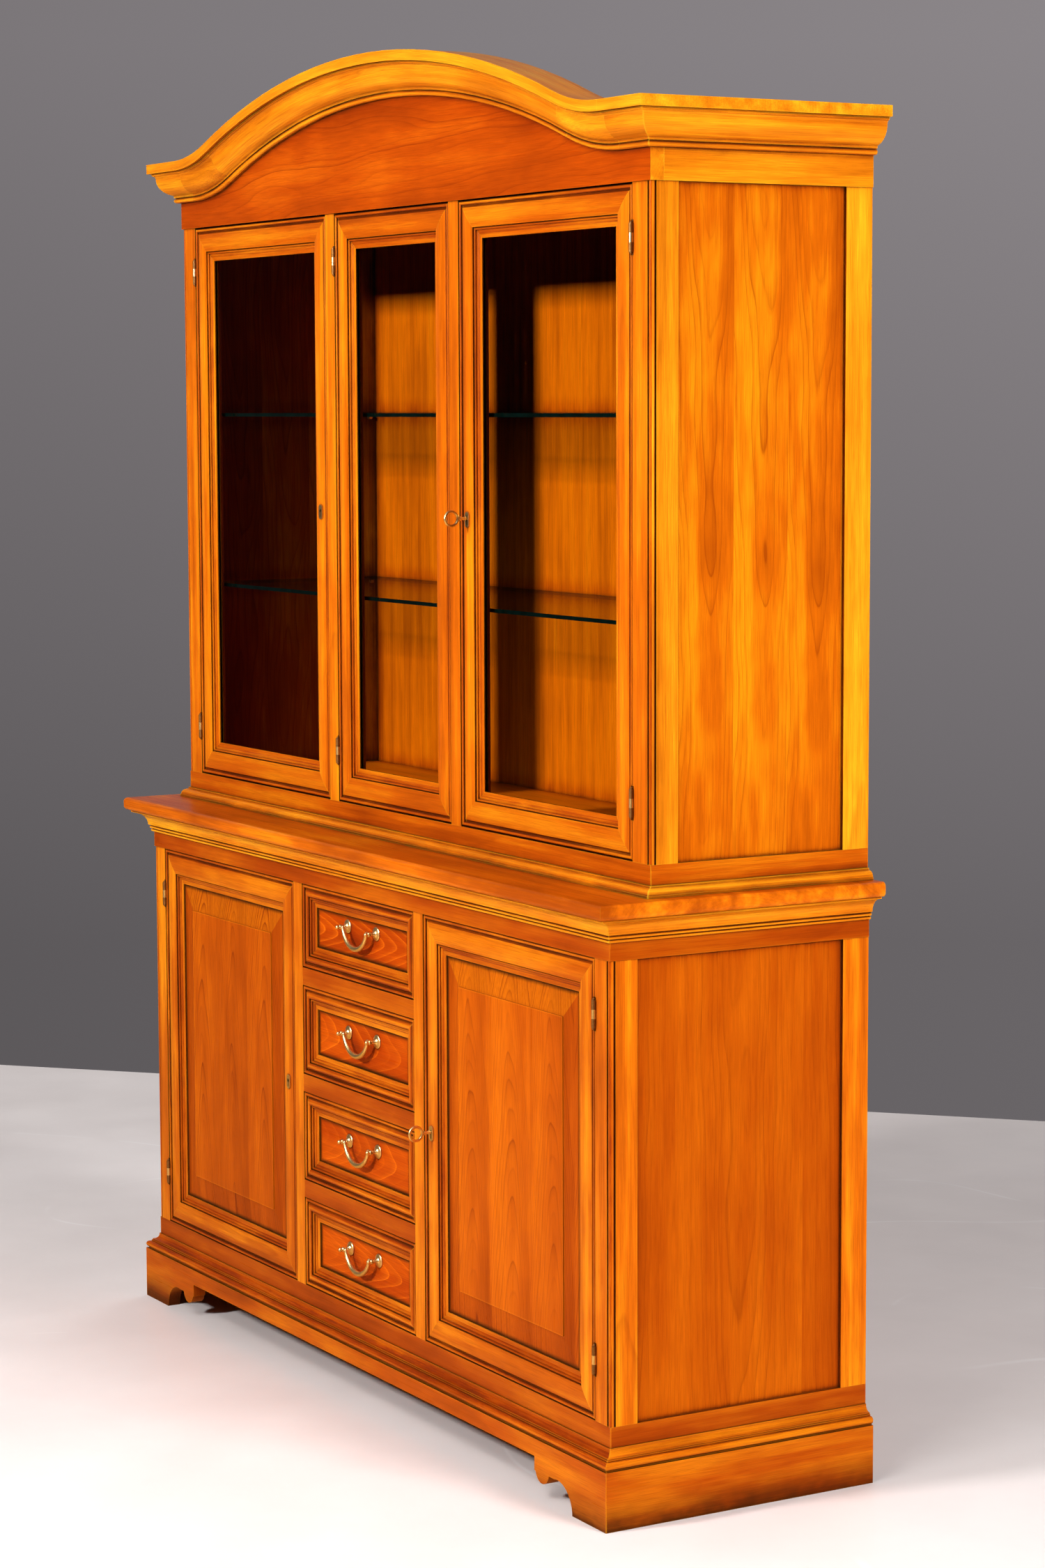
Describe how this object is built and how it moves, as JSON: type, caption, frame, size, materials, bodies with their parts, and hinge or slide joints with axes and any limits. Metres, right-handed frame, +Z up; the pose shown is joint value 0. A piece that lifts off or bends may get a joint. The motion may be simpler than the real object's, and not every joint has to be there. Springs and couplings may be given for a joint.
{
  "type": "china cabinet",
  "caption": "Wooden display cabinet: arched hutch with glazed doors and glass shelves on a base with panelled doors and drawers.",
  "frame": {"origin": "on the floor under the middle of the countertop: centre of the whole cabinet's footprint", "axes": "+Z up, -Y towards the front with the doors, +X to the right seen from the front"},
  "size_m": [1.618, 0.483, 2.1218],
  "materials": {
    "golden_cherry": "satin lacquer over a golden brown stain, darkened in the grooves",
    "red_cherry": "satin lacquer over a redder stain",
    "inner_wood": "plain inner wood, matt",
    "brass": "polished, slightly aged",
    "steel": "bright steel lock bolt",
    "clear_glass": "clear, bevelled at the doors' edges"
  },
  "bodies": {
    "cabinet": {"plinth_boards": "golden_cherry", "plinth_moulding": "golden_cherry", "base_bottom_band": "golden_cherry", "base_posts": "golden_cherry", "base_mullions": "golden_cherry", "drawer_rails": "golden_cherry", "base_inner_boards": "inner_wood", "base_shelves": "inner_wood", "drawer_runners": "inner_wood", "base_top_band": "red_cherry", "counter_moulding": "red_cherry", "countertop": "golden_cherry", "hutch_foot_moulding": "red_cherry", "hutch_bottom_band": "golden_cherry", "hutch_posts": "golden_cherry", "hutch_mullions": "golden_cherry", "hutch_deck_and_ceiling": "inner_wood", "side_panels": "golden_cherry", "back_panels": "inner_wood", "glass_shelves": "clear_glass", "shelf_pins": "brass", "frieze": "red_cherry", "cornice_moulding": "golden_cherry", "top_board": "golden_cherry", "hinge_fixed_halves": "brass"},
    "hutch_left_door": {"hutch_left_door_frame": "golden_cherry", "hutch_left_door_glass": "clear_glass", "hutch_left_door_hardware": "brass"},
    "hutch_middle_door": {"hutch_middle_door_frame": "golden_cherry", "hutch_middle_door_glass": "clear_glass", "hutch_middle_door_hardware": "brass"},
    "hutch_right_door": {"hutch_right_door_frame": "golden_cherry", "hutch_right_door_glass": "clear_glass", "hutch_right_door_hardware": "brass"},
    "base_left_door": {"base_left_door_frame": "golden_cherry", "base_left_door_panel": "red_cherry", "base_left_door_hardware": "brass"},
    "base_right_door": {"base_right_door_frame": "golden_cherry", "base_right_door_panel": "red_cherry", "base_right_door_hardware": "brass"},
    "drawer_1": {"drawer_1_front": "golden_cherry", "drawer_1_box": "inner_wood", "drawer_1_pull_posts": "brass"},
    "drawer_1_bail": {"drawer_1_bail": "brass"},
    "drawer_2": {"drawer_2_front": "golden_cherry", "drawer_2_box": "inner_wood", "drawer_2_pull_posts": "brass"},
    "drawer_2_bail": {"drawer_2_bail": "brass"},
    "drawer_3": {"drawer_3_front": "golden_cherry", "drawer_3_box": "inner_wood", "drawer_3_pull_posts": "brass"},
    "drawer_3_bail": {"drawer_3_bail": "brass"},
    "drawer_4": {"drawer_4_front": "golden_cherry", "drawer_4_box": "inner_wood", "drawer_4_pull_posts": "brass"},
    "drawer_4_bail": {"drawer_4_bail": "brass"},
    "hutch_key": {"hutch_key": "brass"},
    "base_key": {"base_key": "brass"},
    "hutch_lock_bolt": {"hutch_lock_bolt": "steel"},
    "base_lock_bolt": {"base_lock_bolt": "steel"}
  },
  "joints": [
    {"name": "hutch_left_door_hinge", "type": "hinge", "parent": "cabinet", "child": "hutch_left_door", "pos_m": [-0.71325, -0.133, 1.418], "axis": [0, 0, -1], "range_deg": [0, 110]},
    {"name": "hutch_middle_door_hinge", "type": "hinge", "parent": "cabinet", "child": "hutch_middle_door", "pos_m": [-0.18775, -0.133, 1.418], "axis": [0, 0, -1], "range_deg": [0, 110]},
    {"name": "hutch_right_door_hinge", "type": "hinge", "parent": "cabinet", "child": "hutch_right_door", "pos_m": [0.71325, -0.133, 1.418], "axis": [0, 0, 1], "range_deg": [0, 110]},
    {"name": "base_left_door_hinge", "type": "hinge", "parent": "cabinet", "child": "base_left_door", "pos_m": [-0.72375, -0.202, 0.48], "axis": [0, 0, -1], "range_deg": [0, 110]},
    {"name": "base_right_door_hinge", "type": "hinge", "parent": "cabinet", "child": "base_right_door", "pos_m": [0.72375, -0.202, 0.48], "axis": [0, 0, 1], "range_deg": [0, 110]},
    {"name": "drawer_1_slide", "type": "slide", "parent": "cabinet", "child": "drawer_1", "axis": [0, -1, 0], "range_m": [0, 0.28]},
    {"name": "drawer_1_bail_swing", "type": "hinge", "parent": "drawer_1", "child": "drawer_1_bail", "pos_m": [0, -0.203, 0.757], "axis": [-1, 0, 0], "range_deg": [-12, 95]},
    {"name": "drawer_2_slide", "type": "slide", "parent": "cabinet", "child": "drawer_2", "axis": [0, -1, 0], "range_m": [0, 0.28]},
    {"name": "drawer_2_bail_swing", "type": "hinge", "parent": "drawer_2", "child": "drawer_2_bail", "pos_m": [0, -0.203, 0.5855], "axis": [-1, 0, 0], "range_deg": [-12, 95]},
    {"name": "drawer_3_slide", "type": "slide", "parent": "cabinet", "child": "drawer_3", "axis": [0, -1, 0], "range_m": [0, 0.28]},
    {"name": "drawer_3_bail_swing", "type": "hinge", "parent": "drawer_3", "child": "drawer_3_bail", "pos_m": [0, -0.203, 0.4095], "axis": [-1, 0, 0], "range_deg": [-12, 95]},
    {"name": "drawer_4_slide", "type": "slide", "parent": "cabinet", "child": "drawer_4", "axis": [0, -1, 0], "range_m": [0, 0.28]},
    {"name": "drawer_4_bail_swing", "type": "hinge", "parent": "drawer_4", "child": "drawer_4_bail", "pos_m": [0, -0.203, 0.2335], "axis": [-1, 0, 0], "range_deg": [-12, 95]},
    {"name": "hutch_key_turn", "type": "hinge", "parent": "hutch_right_door", "child": "hutch_key", "pos_m": [0.2435, -0.1315, 1.412], "axis": [0, 1, 0], "range_deg": [0, 180]},
    {"name": "hutch_lock_bolt_slide", "type": "slide", "parent": "hutch_right_door", "child": "hutch_lock_bolt", "axis": [-1, 0, 0], "range_m": [0, 0.008]},
    {"name": "base_key_turn", "type": "hinge", "parent": "base_right_door", "child": "base_key", "pos_m": [0.2445, -0.2005, 0.477], "axis": [0, 1, 0], "range_deg": [0, 180]},
    {"name": "base_lock_bolt_slide", "type": "slide", "parent": "base_right_door", "child": "base_lock_bolt", "axis": [-1, 0, 0], "range_m": [0, 0.008]}
  ],
  "couplings": [
    {"joint": "hutch_lock_bolt_slide", "follows": "hutch_key_turn", "m_per_rad": 0.0025146},
    {"joint": "base_lock_bolt_slide", "follows": "base_key_turn", "m_per_rad": 0.0025146}
  ]
}
